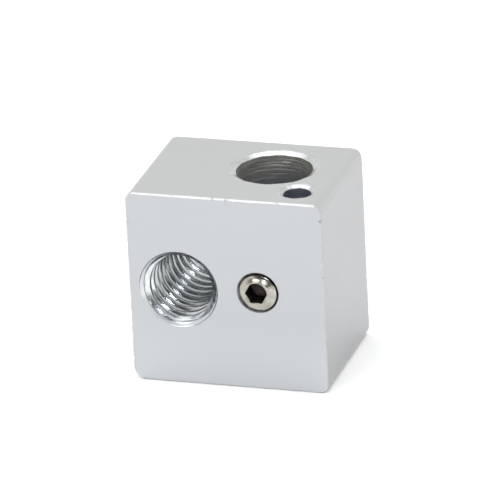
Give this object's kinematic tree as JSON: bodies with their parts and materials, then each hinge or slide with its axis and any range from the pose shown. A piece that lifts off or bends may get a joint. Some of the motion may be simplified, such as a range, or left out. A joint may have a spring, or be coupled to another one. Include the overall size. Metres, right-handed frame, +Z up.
{
  "type": "hot end heater block with clamp screw",
  "caption": "Aluminium heater block for a filament printer's hot end: threaded nozzle hole, plain bores for a heater cartridge and a sensor, and a hex-socket clamp screw.",
  "frame": {"origin": "middle of the block's bottom face", "axes": "+Z up, along the cartridge and sensor bores; -Y out of the face that the nozzle thread and the clamp screw open on; X along that face"},
  "size_m": [0.016, 0.0123, 0.016],
  "materials": {
    "aluminium": "fine satin on the drawn and faced outside, bright cut metal in the holes",
    "steel": "bright nickel-like plating on steel"
  },
  "bodies": {
    "block": {"heater_block": "aluminium"},
    "screw": {"clamp_set_screw": "steel"}
  },
  "joints": [
    {"name": "clamp_screw_travel", "type": "slide", "parent": "block", "child": "screw", "axis": [0, -1, 0], "range_m": [-0.0004, 0.0033]}
  ]
}
